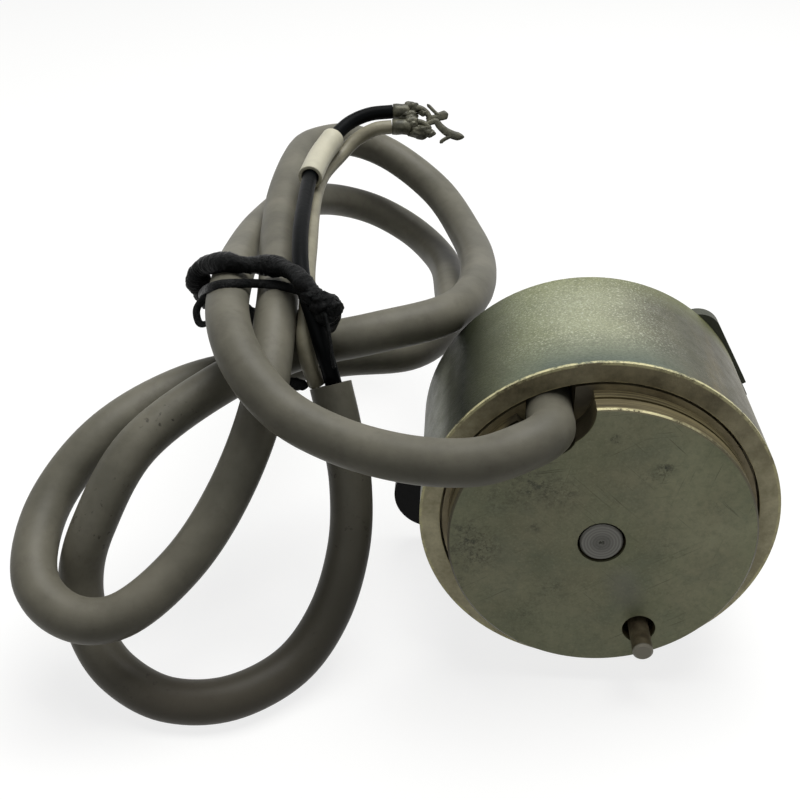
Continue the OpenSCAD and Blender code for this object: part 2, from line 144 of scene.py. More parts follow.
# Stains and ticks on the cap: x, z, radius, soft edge, strength
CAP_MARKS = (
    (-0.0238, -0.0028, 0.001, 0.0062, 0.85), (-0.0258, 0.0008, 0.001, 0.005, 0.8),
    (-0.0140, 0.0130, 0.001, 0.006, 0.8), (-0.0085, 0.0108, 0.0005, 0.005, 0.7),
    (-0.0200, 0.0095, 0.0005, 0.006, 0.5), (0.0102, 0.0172, 0.0003, 0.0024, 0.9),
    (0.0080, 0.0150, 0.0002, 0.003, 0.5), (-0.0270, -0.0105, 0.0002, 0.002, 0.8),
    (-0.0085, -0.0115, 0.0002, 0.005, 0.5), (0.0125, -0.0015, 0.0005, 0.005, 0.35),
    (-0.0140, -0.0180, 0.0005, 0.006, 0.4), (0.0005, 0.0232, 0.0003, 0.0012, 1.0),
    (-0.0130, 0.0030, 0.0001, 0.0018, 0.7), (0.0210, 0.0090, 0.0003, 0.004, 0.3),
)
# Grey rub on the cap between the shaft and the pin: x, z
CAP_GREY = ((0.0045, -0.009), (0.0062, -0.013))
# Where the jacket is speckled, and where painted shadow lies on it: place, radius, soft edge
JACKET_SPECKS = (
    (-0.0495, -0.037, -0.010), (-0.054, -0.047, -0.023), (-0.050, -0.030, 0.004),
    (-0.084, -0.060, -0.0305), (-0.086, -0.033, 0.012), (-0.097, -0.046, 0.002),
)
JACKET_SHADE_PATCHES = (
    ((-0.0495, -0.034, -0.006), 0.012, 0.022), ((-0.054, -0.047, -0.024), 0.006, 0.02),
)
TURNING_MARKS = 11000.0  # phase of the shaft's turning marks in radians per metre

CORD_STEPS = 10  # points in each span of a cord that is drawn
MEASURE_STEPS = 4  # and of one that is only measured
SLEEVE_GAP = 0.0003  # between the core and the sleeve's bore
SLEEVE_SIDES = 32

SPRING_WIRE = 0.00045  # radius of the wire
SPRING_TURNS = 5
SPRING_STEPS = 120

# The two contacts lie in one slanted plane
LUG_ALONG = Vector((0.9988, 0.0495, 0.0))
LUG_UP = Vector((-0.025, 0.499, 0.866))
LUG_OUT = LUG_ALONG.cross(LUG_UP)
BARREL_RADIUS = 0.0021
# A barrel's stations along its length, and its width and depth at each
BARREL_STEPS = (0.0, 0.22, 0.5, 0.82, 1.0)
BARREL_WIDTHS = (0.92, 0.97, 0.9, 0.98, 0.7)
BARREL_DEPTHS = (1.0, 0.98, 1.0, 0.95, 0.7)
# Each contact: name, node, end of its core, barrel length, wings as (place, radius, stretch)
# and strips as (label, width, thickness, points), placed along LUG_ALONG and LUG_UP
LUGS = (
    ("Lug_black", "lug_black", BLACK_ROUTE[-1], 0.0046,
     (((0.0046, 0.0009, 0.0), 0.0020, (1.05, 0.9, 0.9)),
      ((0.0040, -0.0012, 0.0004), 0.0018, (1.3, 0.9, 0.9)),
      ((0.0078, -0.0002, 0.0), 0.0011, (1.4, 0.8, 0.8))),
     (("arch", 0.0015, 0.0012, ((0.0050, 0.0010), (0.0070, 0.0008), (0.0086, -0.0003),
                                (0.0094, -0.0019), (0.0089, -0.0033))),
      ("tine", 0.0024, 0.0007, ((0.0086, -0.0014), (0.0104, -0.0018), (0.0122, -0.0013),
                                (0.0142, -0.0007))),
      ("prong", 0.0009, 0.0007, ((0.0088, 0.0018), (0.0098, 0.0008), (0.0110, -0.0004),
                                 (0.0122, -0.0011))))),
    ("Lug_white", "lug_white", WHITE_ROUTE[-1], 0.0050,
     (((0.0070, -0.0012, 0.0), 0.0020, (1.5, 0.95, 0.95)),
      ((0.0048, 0.0012, 0.0), 0.0018, (1.2, 1.0, 0.9)),
      ((0.0096, -0.0016, 0.0), 0.0012, (1.2, 0.9, 0.8))),
     (("arch", 0.0014, 0.0012, ((0.0062, 0.0014), (0.0078, 0.0010), (0.0090, 0.0002),
                                (0.0098, -0.0010))),
      ("tine", 0.0022, 0.0009, ((0.0084, 0.0004), (0.0100, 0.0011), (0.0112, 0.0013),
                                (0.0122, 0.0001), (0.0138, -0.0013), (0.0160, -0.0023),
                                (0.0184, -0.0027))),
      ("prong", 0.0010, 0.0008, ((0.0122, -0.0042), (0.0131, -0.0034), (0.0144, -0.0027),
                                 (0.0156, -0.0022))))),
)

TIE_SIDES = 24
TIE_STEPS = 26
TIE_UP = (0.0, 0.5, 0.87)
BAND_AXES, STRAND_AXES = (0.0024, 0.0020), (0.0010, 0.00045)
LOOP_AXES, TAIL_AXES = (0.0004, 0.0008), (0.0004, 0.0007)
# Lumps of the tie's knot and of its hidden end: place, radius, stretch, seed
KNOTS = (
    ((-0.0552, -0.0192, 0.0352), 0.0026, (1.2, 0.8, 0.9), 1.0),
    ((-0.0533, -0.0197, 0.0345), 0.0022, (0.9, 0.9, 1.0), 4.0),
    ((-0.0545, -0.0205, 0.0330), 0.0018, (1.1, 0.8, 0.9), 5.0),
    ((-0.0574, -0.0184, 0.0360), 0.0019, (1.2, 0.8, 0.9), 7.0),
    ((-0.0615, -0.0203, 0.0172), 0.0020, (1.4, 0.7, 0.7), 9.0),
)

FOCAL_LENGTH, SENSOR_WIDTH = 52.4, 36.0  # millimetres
CAMERA_PLACE = (-0.0295, -0.22846, 0.1343)
CAMERA_LOOK = (-0.04292, 0.86526, -0.49949)
KEY_PLACE = (0.10, 0.15, 0.9)
FRONT_PLACE = (-0.3, -0.9, 0.45)
LIGHT_AIM = (-0.03, 0.0, 0.0)
LIGHT_SIZE = 0.7
FLOOR_PLACE = (-0.03, 0.2, -0.0352)
FLOOR_SIZE = 3.0
FLOOR_GLOW = 0.8
WHITE = (1, 1, 1, 1)


# ---------------------------------------------------------------- node helpers
class Shader:
    """Builds one node material; its calls take and return sockets or plain values."""

    def __init__(self, name):
        self.mat = bpy.data.materials.new(name)
        self.mat.use_nodes = True
        self.tree = self.mat.node_tree
        self.bsdf = self.tree.nodes["Principled BSDF"]
        self.coord = self.add("ShaderNodeTexCoord").outputs["Object"]

    def add(self, kind, ins=None, **props):
        n = self.tree.nodes.new(kind)
        for key, value in props.items():
            setattr(n, key, value)
        for key, value in (ins or {}).items():
            self.put(n.inputs[key], value)
        return n

    def put(self, socket, value):
        if isinstance(value, bpy.types.NodeSocket):
            self.tree.links.new(value, socket)
        else:
            socket.default_value = value

    def noise(self, scale, detail=4.0, rough=0.55, vector=None):
        n = self.add("ShaderNodeTexNoise", {"Scale": scale, "Detail": detail,
                                            "Roughness": rough})
        self.put(n.inputs["Vector"], self.coord if vector is None else vector)
        return n.outputs["Fac"]

    def stretched(self, scale, turn=0.0, shift=(0, 0, 0)):
        """Object coordinates turned about Y, then stretched and shifted."""
        a = self.add("ShaderNodeMapping", {"Vector": self.coord, "Rotation": (0, turn, 0)})
        b = self.add("ShaderNodeMapping", {"Vector": a.outputs["Vector"], "Scale": scale,
                                           "Location": shift})
        return b.outputs["Vector"]

    def moved(self, shift):
        """Object coordinates shifted, so that a pattern differs from the others."""
        return self.stretched((1, 1, 1), 0.0, shift)

    def ramp(self, fac, low, high, a=0.0, b=1.0):
        """a where fac is low, b where it is high, and a straight line between."""
        n = self.add("ShaderNodeMapRange", {"Value": fac, "From Min": low, "From Max": high,
                                            "To Min": a, "To Max": b})
        n.clamp = True
        return n.outputs["Result"]

    def mix(self, fac, a, b):
        """Colour a where fac is 0 and b where it is 1."""
        n = self.add("ShaderNodeMix", data_type="RGBA")
        # the colour sockets are the seventh and eighth, and the third output
        self.put(n.inputs[0], fac)
        self.put(n.inputs[6], a)
        self.put(n.inputs[7], b)
        return n.outputs[2]

    def stops(self, fac, colours):
        """A colour for each place along fac, blended between neighbours."""
        n = self.add("ShaderNodeValToRGB", {"Fac": fac})
        marks = n.color_ramp.elements
        for k, (at, colour) in enumerate(colours):
            mark = marks[k] if k < 2 else marks.new(at)
            mark.position = at
            mark.color = lin(*colour)
        return n.outputs["Color"]

    def scaled(self, colour, amount):
        n = self.add("ShaderNodeVectorMath", operation="SCALE")
        self.put(n.inputs[0], colour)
        self.put(n.inputs["Scale"], amount)
        return n.outputs[0]

    def math(self, op, a, b=0.0):
        n = self.add("ShaderNodeMath", operation=op)
        self.put(n.inputs[0], a)
        self.put(n.inputs[1], b)
        return n.outputs[0]

    def times(self, first, *others):
        """The product of all the factors."""
        for value in others:
            first = self.math("MULTIPLY", first, value)
        return first

    def tint(self, colour, mask, amount, target):
        """colour taken towards target by mask times amount."""
        return self.mix(self.times(mask, amount), colour, target)

    def near(self, point, radius, soft):
        """1 inside radius of a point, falling to 0 over soft metres."""
        n = self.add("ShaderNodeVectorMath", operation="DISTANCE")
        self.put(n.inputs[0], self.coord)
        self.put(n.inputs[1], point)
        return self.ramp(n.outputs["Value"], radius, radius + soft, 1.0, 0.0)

    def axes(self):
        n = self.add("ShaderNodeSeparateXYZ", {"Vector": self.coord})
        return n.outputs[0], n.outputs[1], n.outputs[2]

    def radius(self):
        """Distance from the shaft axis."""
        x, _, z = self.axes()
        return self.math("SQRT", self.math("ADD", self.times(x, x), self.times(z, z)))

    def normal(self, height, strength, distance):
        n = self.add("ShaderNodeBump", {"Height": height, "Strength": strength,
                                        "Distance": distance})
        self.put(self.bsdf.inputs["Normal"], n.outputs["Normal"])

    def finish(self, colour, metallic, rough, specular=0.5):
        self.put(self.bsdf.inputs["Base Color"], colour)
        self.put(self.bsdf.inputs["Metallic"], metallic)
        self.put(self.bsdf.inputs["Roughness"], rough)
        self.put(self.bsdf.inputs["Specular IOR Level"], specular)
        return self.mat


def lin(r, g, b):
    """An sRGB colour in 0..255 as linear RGBA."""
    out = []
    for c in (r, g, b):
        c = c / 255.0
        out.append(c / 12.92 if c <= 0.04045 else ((c + 0.055) / 1.055) ** 2.4)
    return (*out, 1.0)


# ---------------------------------------------------------------- materials
def tube_material():
    """Yellow-green passivated steel with painted light and shade: a pale top as a painted
    highlight, a deep olive left flank and a brown-grey right side as painted shade, and a painted
    reflection on the left side.
    """
    s = Shader("Tube_steel")
    x, y, z = s.axes()
    r = s.radius()
    drift = s.times(s.math("SUBTRACT", s.noise(60.0, 4.0, 0.6), 0.5), 0.16)
    angle = s.math("ADD", s.math("ARCTAN2", x, z), drift)  # 0 at the top, positive to the right
    # painted light and shade round the tube, following the angle from the top
    colour = s.stops(s.ramp(angle, -1.5, 1.5), TUBE_LIT_AND_SHADED_COLOURS)
    top = s.times(s.ramp(angle, -0.65, -0.35), s.ramp(angle, 0.2, 0.5, 1.0, 0.0))
    # the coat is cooler and darker along the front edge and yellower towards the rear
    front = s.times(s.ramp(y, -0.0395, -0.027, 1.0, 0.0), top)
    colour = s.tint(colour, front, 0.95, lin(84, 93, 82))
    back = s.times(s.ramp(y, -0.013, -0.002), s.ramp(angle, -0.6, -0.3))
    colour = s.tint(colour, back, 0.75, lin(112, 116, 78))
    side = s.ramp(angle, 0.3, 0.6)
    streak = s.ramp(s.noise(1.0, 4.0, 0.6, s.stretched((260, 30, 260))), 0.5, 0.72)
    colour = s.tint(colour, s.times(streak, side), 0.4, lin(118, 106, 78))
    cloud = s.ramp(s.noise(90.0, 4.0, 0.6), 0.3, 0.7, 0.88, 1.12)
    grain = s.ramp(s.noise(1800.0, 3.0, 0.7), 0.3, 0.7, 0.78, 1.24)
    colour = s.scaled(colour, s.times(cloud, grain))
    # painted glints: bright sparks of the coat, painted on the lit top only
    painted_glint = s.times(s.ramp(s.noise(2400.0, 2.0, 0.6), 0.52, 0.72), s.ramp(y, -0.037, -0.030))
    colour = s.tint(colour, s.times(painted_glint, top), 0.55, lin(216, 219, 198))
    # the bare front face, darker along its upper part
    face = s.ramp(y, TUBE_FRONT_Y + 0.00005, TUBE_FRONT_Y + 0.00015, 1.0, 0.0)
    blotch = s.ramp(s.noise(150.0, 5.0, 0.7), 0.38, 0.64)
    rim = s.mix(blotch, lin(160, 153, 123), lin(208, 201, 168))
    high = s.ramp(z, 0.012, 0.028, 0.0, 0.75)
    rim = s.mix(high, rim, s.mix(blotch, lin(80, 72, 54), lin(120, 110, 84)))
    colour = s.mix(face, colour, rim)
    # both edges of the face carry a broken bright line, partly worn bare metal and partly a
    # painted highlight
    outer = s.times(s.ramp(r, TUBE_RADIUS - 0.00065, TUBE_RADIUS - 0.0004),
                    s.ramp(y, TUBE_FRONT_Y + 0.0009, TUBE_FRONT_Y + 0.0006))
    inner = s.times(s.ramp(r, TUBE_BORE_RADIUS + 0.00025, TUBE_BORE_RADIUS + 0.00005),
                    s.ramp(y, TUBE_FRONT_Y + 0.0003, TUBE_FRONT_Y))
    wear_and_highlight = s.ramp(s.noise(330.0, 5.0, 0.75), 0.40, 0.54)
    colour = s.tint(colour, outer, wear_and_highlight, lin(214, 208, 162))
    colour = s.tint(colour, inner, wear_and_highlight, lin(176, 166, 128))
    s.normal(s.noise(2000.0, 2.0, 0.6), 0.35, 0.0002)
    rough = s.ramp(s.noise(300.0, 3.0), 0.3, 0.7, 0.42, 0.56)
    return s.finish(colour, 0.12, rough, 0.2)


def ring_material():
    """Brownish passivated steel of the recessed front plate."""
    s = Shader("Ring_steel")
    blotch = s.ramp(s.noise(130.0, 4.0, 0.65), 0.38, 0.66)
    colour = s.mix(blotch, lin(108, 98, 72), lin(140, 130, 100))
    # shade beside the cable's way in
    colour = s.tint(colour, s.near(RING_SHADE, 0.002, 0.003), 0.8, lin(34, 30, 22))
    s.normal(s.noise(900.0, 2.0), 0.2, 0.0002)
    return s.finish(colour, 0.32, 0.45)


def cap_material():
    """Olive passivated cap with brownish zones, fine rubs and dark speckled stains."""
    s = Shader("Cap_steel")
    x, y, z = s.axes()
    r = s.radius()
    cloud = s.ramp(s.noise(55.0, 5.0, 0.62), 0.34, 0.68)
    colour = s.mix(cloud, lin(110, 113, 87), lin(134, 135, 108))
    # painted light: the face is painted up to a fifth lighter towards its right side
    colour = s.scaled(colour, s.ramp(x, 0.002, 0.022, 1.0, 1.22))
    warm = s.ramp(s.noise(40.0, 3.0, 0.55, s.moved((4.0, 0, 2.0))), 0.46, 0.64)
    colour = s.tint(colour, warm, 0.35, lin(128, 121, 98))
    cool = s.ramp(s.noise(85.0, 4.0, 0.6, s.moved((9.0, 0, 5.0))), 0.5, 0.7)
    colour = s.tint(colour, cool, 0.5, lin(92, 100, 82))
    mottle = s.ramp(s.noise(560.0, 5.0, 0.75), 0.46, 0.72)
    colour = s.tint(colour, mottle, 0.4, lin(80, 82, 62))
    fine = s.ramp(s.noise(1700.0, 2.0, 0.6), 0.5, 0.72)
    colour = s.tint(colour, fine, 0.22, lin(158, 156, 124))
    # faint hairline rubs, each only where a broad patch lets it show
    for turn, seed in CAP_RUBS:
        line = s.noise(1.0, 3.0, 0.55, s.stretched((70, 70, 2600), turn, (seed, seed, seed)))
        where = s.ramp(s.noise(75.0, 4.0, 0.6, s.moved((seed, 0, seed))), 0.5, 0.66)
        colour = s.tint(colour, s.times(s.ramp(line, 0.62, 0.7), where), 0.6, lin(56, 56, 42))
    # dark speckled stains and short ticks
    speck = s.ramp(s.noise(900.0, 5.0, 0.78), 0.46, 0.6)
    drag = s.ramp(s.noise(1.0, 4.0, 0.7, s.stretched((500, 500, 1700), 0.5)), 0.42, 0.6)
    speck = s.math("MAXIMUM", speck, s.times(drag, 0.4))
    for mx, mz, radius, soft, amount in CAP_MARKS:
        here = s.times(s.near((mx, CAP_FRONT_Y, mz), radius, soft), speck)
        colour = s.tint(colour, here, amount, lin(50, 52, 42))
    for mx, mz in CAP_GREY:
        here = s.near((mx, CAP_FRONT_Y, mz), 0.001, 0.0035)
        colour = s.tint(colour, here, 0.35, lin(120, 118, 112))
    # the brown wall behind the face, with streaks round it
    side = s.ramp(y, CAP_FRONT_Y + 0.0003, CAP_FRONT_Y + 0.0007)
    streak = s.ramp(s.noise(1.0, 3.0, 0.6, s.stretched((40, 1800, 40))), 0.4, 0.6)
    colour = s.mix(side, colour, s.mix(streak, lin(66, 59, 41), lin(116, 107, 78)))
    # the wall of the cable notch lies in shade
    notch = s.times(s.near(NOTCH_SHADE, 0.0075, 0.002),
                    s.ramp(y, CAP_FRONT_Y + 0.0002, CAP_FRONT_Y + 0.0005))
    colour = s.tint(colour, notch, 0.9, lin(32, 29, 21))
    # the chamfer is brown, and along its upper part a broken bright line is painted on as a
    # highlight
    edge = s.times(s.ramp(r, CAP_RADIUS - 0.0005, CAP_RADIUS - 0.0003),
                   s.ramp(y, CAP_FRONT_Y + 0.0009, CAP_FRONT_Y + 0.0005))
    colour = s.tint(colour, edge, 0.8, lin(66, 57, 40))
    top = s.times(s.ramp(z, 0.018, 0.026), s.ramp(r, CAP_RADIUS - 0.00023, CAP_RADIUS - 0.00015),
                  s.ramp(x, 0.006, 0.017, 1.0, 0.3))
    # painted highlight: a broken bright line on the upper chamfer
    wear_and_highlight = s.ramp(s.noise(380.0, 4.0, 0.75), 0.4, 0.54)
    colour = s.tint(colour, s.times(edge, top), wear_and_highlight, lin(232, 224, 176))
    s.normal(s.noise(1100.0, 3.0, 0.6), 0.15, 0.0002)
    rough = s.ramp(s.noise(160.0, 4.0), 0.3, 0.7, 0.4, 0.52)
    return s.finish(colour, 0.2, rough, 0.3)


def flange_material():
    """Black stove enamel, dusty on the shoulder, where painted light also makes it pale."""
    s = Shader("Flange_black")
    x, _, _ = s.axes()
    dust = s.ramp(s.noise(500.0, 5.0, 0.7), 0.4, 0.8)
    plain = s.mix(s.times(dust, 0.12), lin(8, 8, 8), lin(44, 44, 40))
    # painted light: the right-hand shoulder is painted pale grey, with dust in it
    lit_shoulder = s.mix(s.times(dust, 0.3), lin(76, 78, 69), lin(108, 108, 96))
    s.normal(s.noise(700.0, 3.0), 0.25, 0.0003)
    return s.finish(s.mix(s.ramp(x, 0.0, 0.02), plain, lit_shoulder), 0.0, 0.5, 0.1)


def jacket_material():
    """Warm grey vinyl, slightly cloudy and speckled, with painted shade on the lower runs."""
    s = Shader("Jacket_grey")
    x, _, z = s.axes()
    cloud = s.ramp(s.noise(70.0, 4.0, 0.6), 0.35, 0.7)
    colour = s.mix(cloud, lin(94, 92, 81), lin(117, 114, 101))
    grime = s.ramp(s.noise(240.0, 5.0, 0.7), 0.52, 0.75)
    colour = s.tint(colour, grime, 0.35, lin(74, 70, 61))
    speck = s.ramp(s.noise(650.0, 4.0, 0.6), 0.62, 0.68)
    for place in JACKET_SPECKS:
        here = s.times(s.near(place, 0.004, 0.007), speck)
        colour = s.tint(colour, here, 0.8, lin(46, 40, 36))
    # painted shade: the lower runs are darkened towards the floor, less so at the far left
    low = s.times(s.ramp(z, -0.024, 0.006, 1.0, 0.0), s.ramp(x, -0.108, -0.085, 0.35, 1.0))
    colour = s.tint(colour, low, 0.7, lin(58, 52, 43))
    # painted shadow patches on the lower loop
    for place, radius, soft in JACKET_SHADE_PATCHES:
        colour = s.tint(colour, s.near(place, radius, soft), 0.65, lin(46, 44, 36))
    s.normal(s.noise(420.0, 4.0, 0.6), 0.18, 0.0003)
    return s.finish(colour, 0.0, 0.5, 0.2)


def plain_material(name, colour, metallic, rough, grain=600.0, strength=0.2, depth=0.12,
                   specular=0.3):
    """A plain finish with a little tonal grain."""
    s = Shader(name)
    dark = tuple(c * (1 - 2.5 * depth) for c in colour[:3]) + (1.0,)
    fac = s.ramp(s.noise(grain, 4.0, 0.6), 0.35, 0.7)
    s.normal(s.noise(grain * 1.6, 2.0), strength, 0.0002)
    return s.finish(s.mix(fac, dark, colour), metallic, rough, specular)


def shaft_material():
    """Steel with concentric turning marks about the shaft axis and a darker middle."""
    s = Shader("Shaft_steel")
    r = s.radius()
    wave = s.math("SINE", s.times(r, TURNING_MARKS))
    colour = s.mix(s.ramp(wave, -0.8, 0.9), lin(90, 89, 83), lin(112, 111, 105))
    middle = s.ramp(r, 0.0014, 0.0024, 1.0, 0.0)
    colour = s.tint(colour, middle, 0.55, lin(62, 61, 55))
    centre = s.ramp(r, 0.0003, 0.0006, 1.0, 0.0)
    colour = s.mix(centre, colour, lin(104, 104, 96))
    dots = s.ramp(s.noise(1500.0, 3.0, 0.7), 0.55, 0.68)
    colour = s.tint(colour, s.times(dots, middle), 0.5, lin(50, 49, 44))
    s.normal(s.noise(1600.0, 2.0), 0.1, 0.0001)
    return s.finish(colour, 0.3, 0.45)


def pin_material():
    """Browned steel with a lighter tip."""
    s = Shader("Pin_steel")
    _, y, _ = s.axes()
    tip = s.ramp(y, PIN_TIP_Y + 0.0005, PIN_TIP_Y + 0.0008, 1.0, 0.0)
    grime = s.ramp(s.noise(500.0, 4.0), 0.35, 0.65)
    body = s.mix(grime, lin(70, 61, 46), lin(104, 95, 75))
    s.normal(s.noise(900.0, 2.0), 0.2, 0.0002)
    return s.finish(s.mix(tip, body, lin(106, 102, 90)), 0.4, 0.45)


def tie_material():
    """Creased black film."""
    s = Shader("Tie_black")
    fold = s.noise(520.0, 5.0, 0.7)
    s.normal(fold, 1.0, 0.0009)
    # painted shade: the film is darker in the creases and lighter on the ridges, following the
    # fold that bumps it
    return s.finish(s.mix(s.ramp(fold, 0.4, 0.7), lin(4, 5, 5), lin(15, 16, 16)), 0.0, 0.36, 0.08)


def tinned_material():
    """Dull tinned brass, with darker patches."""
    s = Shader("Tinned")
    tin = s.ramp(s.noise(700.0, 4.0, 0.7), 0.35, 0.7)
    dark = s.ramp(s.noise(260.0, 3.0, 0.6), 0.46, 0.58)
    colour = s.mix(tin, lin(58, 58, 46), lin(99, 97, 80))
    s.normal(s.noise(900.0, 3.0), 0.5, 0.0003)
    return s.finish(s.tint(colour, dark, 0.75, lin(38, 38, 26)), 0.2, 0.42, 0.3)


# ---------------------------------------------------------------- mesh helpers
def smooth_points(points, per):
    """Catmull-Rom points through a route, per points in each span."""
    pts = [Vector(p) for p in points]
    ext = [2 * pts[0] - pts[1]] + pts + [2 * pts[-1] - pts[-2]]
    out = []
    for i in range(1, len(ext) - 2):
        a, b, c, d = ext[i - 1], ext[i], ext[i + 1], ext[i + 2]
        for k in range(per):
            t = k / per
            out.append(0.5 * ((2 * b) + (c - a) * t + (2 * a - 5 * b + 4 * c - d) * t * t
                              + (3 * b - a - 3 * c + d) * t ** 3))
    out.append(pts[-1].copy())
    return out


def frames_along(pts, closed, start):
    """(tangent, side, across) at each point, carried without twist."""
    n = len(pts)
    out = []
    side = Vector(start)
    for i in range(n):
        if closed:
            t = (pts[(i + 1) % n] - pts[i - 1]).normalized()
        else:
            t = (pts[min(i + 1, n - 1)] - pts[max(i - 1, 0)]).normalized()
        side = (side - side.dot(t) * t).normalized()
        out.append((t, side.copy(), t.cross(side)))
    return out


def sweep(name, pts, section, closed=False, start=(0, 0, 1), shape=None):
    """A solid swept along pts. section is a list of (side, across) pairs; shape(i, k, a, b)
    may change a section point along the way."""
    n, m = len(pts), len(section)
    verts = []
    for i, (_, u, w) in enumerate(frames_along(pts, closed, start)):
        for k, (a, b) in enumerate(section):
            if shape:
                a, b = shape(i, k, a, b)
            verts.append(pts[i] + a * u + b * w)
    faces = []
    for i in range(n if closed else n - 1):
        j = (i + 1) % n
        for k in range(m):
            q = (k + 1) % m
            faces.append((i * m + k, i * m + q, j * m + q, j * m + k))
    if not closed:
        faces.append(tuple(reversed(range(m))))
        faces.append(tuple((n - 1) * m + k for k in range(m)))
    return mesh_object(name, verts, faces)


def mesh_object(name, verts, faces):
    """A smooth-shaded object with its faces turned outwards."""
    mesh = bpy.data.meshes.new(name)
    mesh.from_pydata([tuple(v) for v in verts], [], faces)
    bm = bmesh.new()
    bm.from_mesh(mesh)
    bmesh.ops.recalc_face_normals(bm, faces=bm.faces)
    bm.to_mesh(mesh)
    bm.free()
    obj = bpy.data.objects.new(name, mesh)
    bpy.context.scene.collection.objects.link(obj)
    for p in mesh.polygons:
        p.use_smooth = True
    return obj


def oval(ra, rb, count):
    """The points of an ellipse with half axes ra and rb."""
    return [(ra * math.cos(2 * math.pi * k / count), rb * math.sin(2 * math.pi * k / count))
            for k in range(count)]


def curve_tube(name, points, radius):
    """A smooth round tube as one open spline through the points."""
    data = bpy.data.curves.new(name, "CURVE")
    data.dimensions = "3D"
    data.bevel_depth = radius
    data.bevel_resolution = 10
    data.use_fill_caps = True
    line = smooth_points(points, CORD_STEPS)
    spline = data.splines.new("POLY")
    spline.points.add(len(line) - 1)
    for p, at in zip(spline.points, line):
        p.co = (*at, 1.0)
    spline.use_smooth = True
    obj = bpy.data.objects.new(name, data)
    bpy.context.scene.collection.objects.link(obj)
    return obj


def length_of(points):
    """Length of a route along its curve."""
    line = smooth_points(points, MEASURE_STEPS)
    return sum((b - a).length for a, b in zip(line, line[1:]))


def paint(obj, material):
    obj.data.materials.clear()
    obj.data.materials.append(material)


def bevel(obj, width, segments, angle):
    """Rounds the edges that turn by more than angle degrees."""
    m = obj.modifiers.new("Edge_round", "BEVEL")
    m.width = width
    m.segments = segments
    m.limit_method = "ANGLE"
    m.angle_limit = math.radians(angle)


# ---------------------------------------------------------------- pieces
def build_housing():
    ring = ring_material()
    paint(NODES["housing_tube"], tube_material())
    paint(NODES["front_plate"], ring)
    paint(NODES["rear_plate"], ring)
    paint(NODES["front_cap"], cap_material())
    paint(NODES["mounting_flange"], flange_material())
    paint(NODES["flange_screws"], plain_material("Screw_steel", lin(120, 120, 118), 0.8, 0.4))
    paint(NODES["damping_washer"], plain_material("Rubber", lin(34, 34, 34), 0.0, 0.7))


def build_coil():
    iron = plain_material("Iron", lin(150, 150, 146), 0.8, 0.4)
    paint(NODES["bobbin"], plain_material("Bobbin_plastic", lin(40, 40, 42), 0.0, 0.5))
    paint(NODES["coil_winding"], plain_material("Copper", lin(184, 110, 60), 0.6, 0.4))
    paint(NODES["coil_tape"], plain_material("Tape", lin(200, 180, 80), 0.0, 0.35))
    paint(NODES["guide_tube"], plain_material("Brass", lin(200, 170, 96), 0.85, 0.35))
    paint(NODES["front_pole"], iron)
    paint(NODES["plunger"], iron)
    paint(NODES["shaft_bush"], plain_material("Bronze", lin(180, 140, 84), 0.85, 0.4))
    paint(NODES["lead_splices"], plain_material("Splice", lin(200, 200, 190), 0.0, 0.5))


def build_moving():
    steel = plain_material("Spring_steel", lin(120, 120, 120), 0.85, 0.35)
    paint(NODES["shaft"], shaft_material())
    paint(NODES["guide_arm"], plain_material("Arm_steel", lin(110, 104, 80), 0.7, 0.45))
    paint(NODES["guide_pin"], pin_material())
    paint(NODES["retaining_rings"], steel)
    paint(NODES["return_spring"], steel)
    paint(build_spring(), steel)


def build_spring():
    """The coil spring, wound evenly from the back of the return spring's box to its seat."""
    low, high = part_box("return_spring")
    radius = (high[0] - low[0]) / 2 - SPRING_WIRE
    seat, back = low[1] + SPRING_WIRE, high[1] - SPRING_WIRE
    pts = []
    for i in range(SPRING_STEPS + 1):
        a = 2 * math.pi * SPRING_TURNS * i / SPRING_STEPS
        pts.append(Vector((radius * math.cos(a), back + (seat - back) * i / SPRING_STEPS,
                           -radius * math.sin(a))))
    coil = sweep("Return_spring", pts, oval(SPRING_WIRE, SPRING_WIRE, 10), start=(1, 0, 0))
    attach(coil, "housing")
    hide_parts("return_spring")
    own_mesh(coil)
    return coil


def build_cable(props):
    """The jacket, the two cores that leave its end, and the sleeve on one of them."""
    jacket = curve_tube("Cable_jacket", JACKET_ROUTE, props.cable_diameter / 2)
    paint(jacket, jacket_material())
    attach(jacket, "housing")
    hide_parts("cable_jacket")
    black = curve_tube("Core_black", BLACK_ROUTE, props.core_diameter / 2)
    paint(black, plain_material("Core_black_vinyl", lin(11, 13, 14), 0.0, 0.4, grain=400.0,
                                strength=0.3, depth=0.15, specular=0.03))
    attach(black, "housing")
    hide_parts("core_black")
    white = curve_tube("Core_white", WHITE_ROUTE, props.core_diameter / 2)
    paint(white, plain_material("Core_white_vinyl", lin(150, 145, 124), 0.0, 0.42, grain=300.0,
                                depth=0.1))
    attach(white, "housing")
    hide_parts("core_white")
    sleeve = build_sleeve(props)
    return black, white, sleeve


